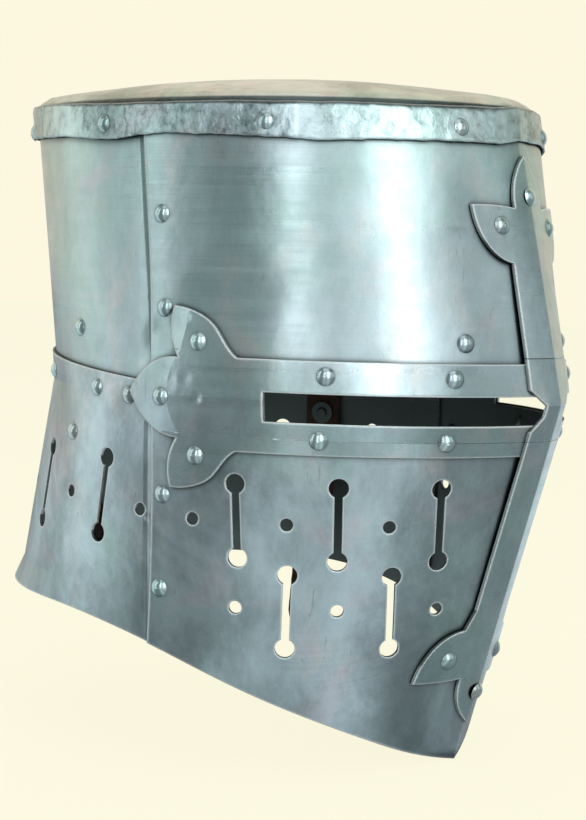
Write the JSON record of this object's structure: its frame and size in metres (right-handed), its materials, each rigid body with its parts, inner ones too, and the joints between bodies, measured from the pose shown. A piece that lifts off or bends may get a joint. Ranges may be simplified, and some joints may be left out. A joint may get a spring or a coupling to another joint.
{
  "type": "great helm",
  "caption": "Closed great helm of riveted steel plates with a cross over the face, two sights, keyhole breaths, a leather liner and a buckled chin strap.",
  "frame": {"origin": "under the middle of the helm, at the height of its chin point, which is its lowest point", "axes": "the face looks along -Y, the crown points along +Z and the wearer's left is at +X"},
  "size_m": [0.2378, 0.3224, 0.3359],
  "materials": {
    "plate_steel": "brushed",
    "crown_steel": "hammered",
    "bar_steel": "brushed",
    "rivet_steel": "polished",
    "liner_leather": "suede",
    "strap_leather": "smooth",
    "lace_leather": "smooth",
    "buckle_steel": "polished"
  },
  "bodies": {
    "helm": {"crown_plate": "crown_steel", "skull_front_plate": "plate_steel", "skull_back_plate": "plate_steel", "face_plate": "plate_steel", "nape_plate": "plate_steel", "cross_arm_right": "bar_steel", "cross_arm_left": "bar_steel", "cross_upright": "bar_steel", "crown_rivets": "rivet_steel", "side_seam_rivets": "rivet_steel", "waist_rivets": "rivet_steel", "cross_arm_rivets": "rivet_steel", "upright_rivets": "rivet_steel", "liner_rivets": "rivet_steel", "strap_rivets": "rivet_steel", "liner_washers": "rivet_steel", "strap_washers": "rivet_steel", "liner_headband": "liner_leather", "liner_tongue_1": "liner_leather", "liner_tongue_2": "liner_leather", "liner_tongue_3": "liner_leather", "liner_tongue_4": "liner_leather", "liner_tongue_5": "liner_leather", "liner_tongue_6": "liner_leather", "liner_tongue_7": "liner_leather", "liner_tongue_8": "liner_leather", "liner_lace": "lace_leather", "strap_anchor_right": "strap_leather", "strap_anchor_left": "strap_leather"},
    "long_strap": {"chin_strap_left": "strap_leather"},
    "short_strap": {"chin_strap_right": "strap_leather", "strap_fold_rivet": "rivet_steel"},
    "buckle_frame": {"chin_buckle_frame": "buckle_steel"},
    "buckle_prong": {"chin_buckle_prong": "buckle_steel"}
  },
  "joints": [
    {"name": "long_strap_bend", "type": "hinge", "parent": "helm", "child": "long_strap", "pos_m": [0.10218, 0.05383, 0.1423], "axis": [-0.3338, 0.9427, 0], "range_deg": [0, 50]},
    {"name": "short_strap_bend", "type": "hinge", "parent": "helm", "child": "short_strap", "pos_m": [-0.10218, 0.05383, 0.1423], "axis": [-0.3338, -0.9427, 0], "range_deg": [0, 50]},
    {"name": "buckle_swing", "type": "hinge", "parent": "short_strap", "child": "buckle_frame", "pos_m": [-0.09114, 0.04992, 0.09987], "axis": [-0.3338, -0.9427, 0], "range_deg": [0, 70]},
    {"name": "prong_swing", "type": "hinge", "parent": "buckle_frame", "child": "buckle_prong", "pos_m": [-0.09114, 0.04992, 0.09987], "axis": [-0.3338, -0.9427, 0], "range_deg": [0, 80]}
  ]
}
